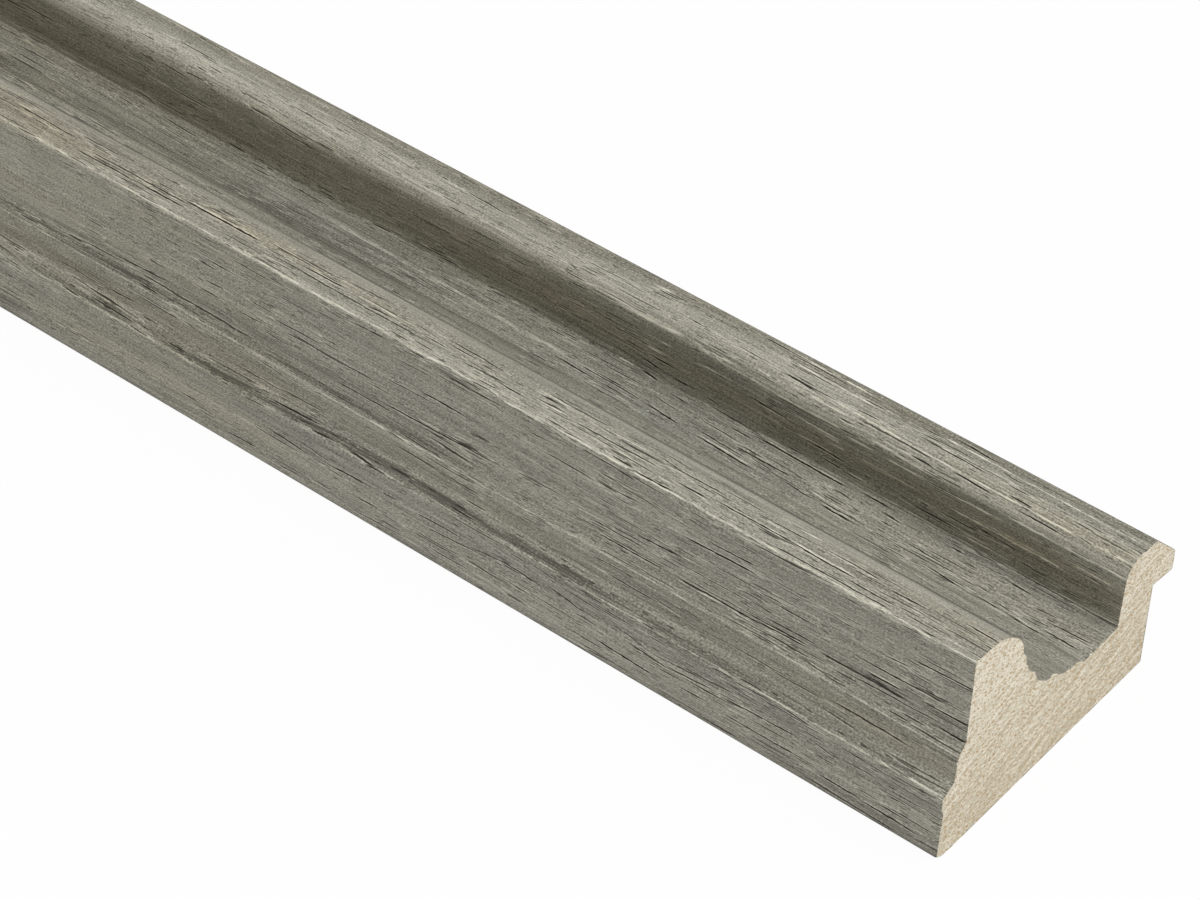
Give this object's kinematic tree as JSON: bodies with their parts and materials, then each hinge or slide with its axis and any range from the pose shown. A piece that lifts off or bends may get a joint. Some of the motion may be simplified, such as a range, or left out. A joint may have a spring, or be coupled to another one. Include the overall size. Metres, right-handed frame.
{
  "type": "picture frame moulding",
  "caption": "Straight length of wooden picture frame moulding: tall rounded rim, stepped scoop and a low lip over a rabbet for glass and picture.",
  "frame": {"origin": "middle of the length, centred on the overall width, on the plane of the flat back", "axes": "X along the stick, with the pictured cut end at +X; -Y out of the tall outer face, +Y out of the sight edge; +Z from the flat back towards the shown face"},
  "size_m": [1.22, 0.07, 0.0438],
  "materials": {
    "grey_finish": "grey-brown driftwood stain, matt, with dark open pores along the grain"
  },
  "bodies": {
    "root": {"moulding": "grey_finish"}
  },
  "joints": []
}
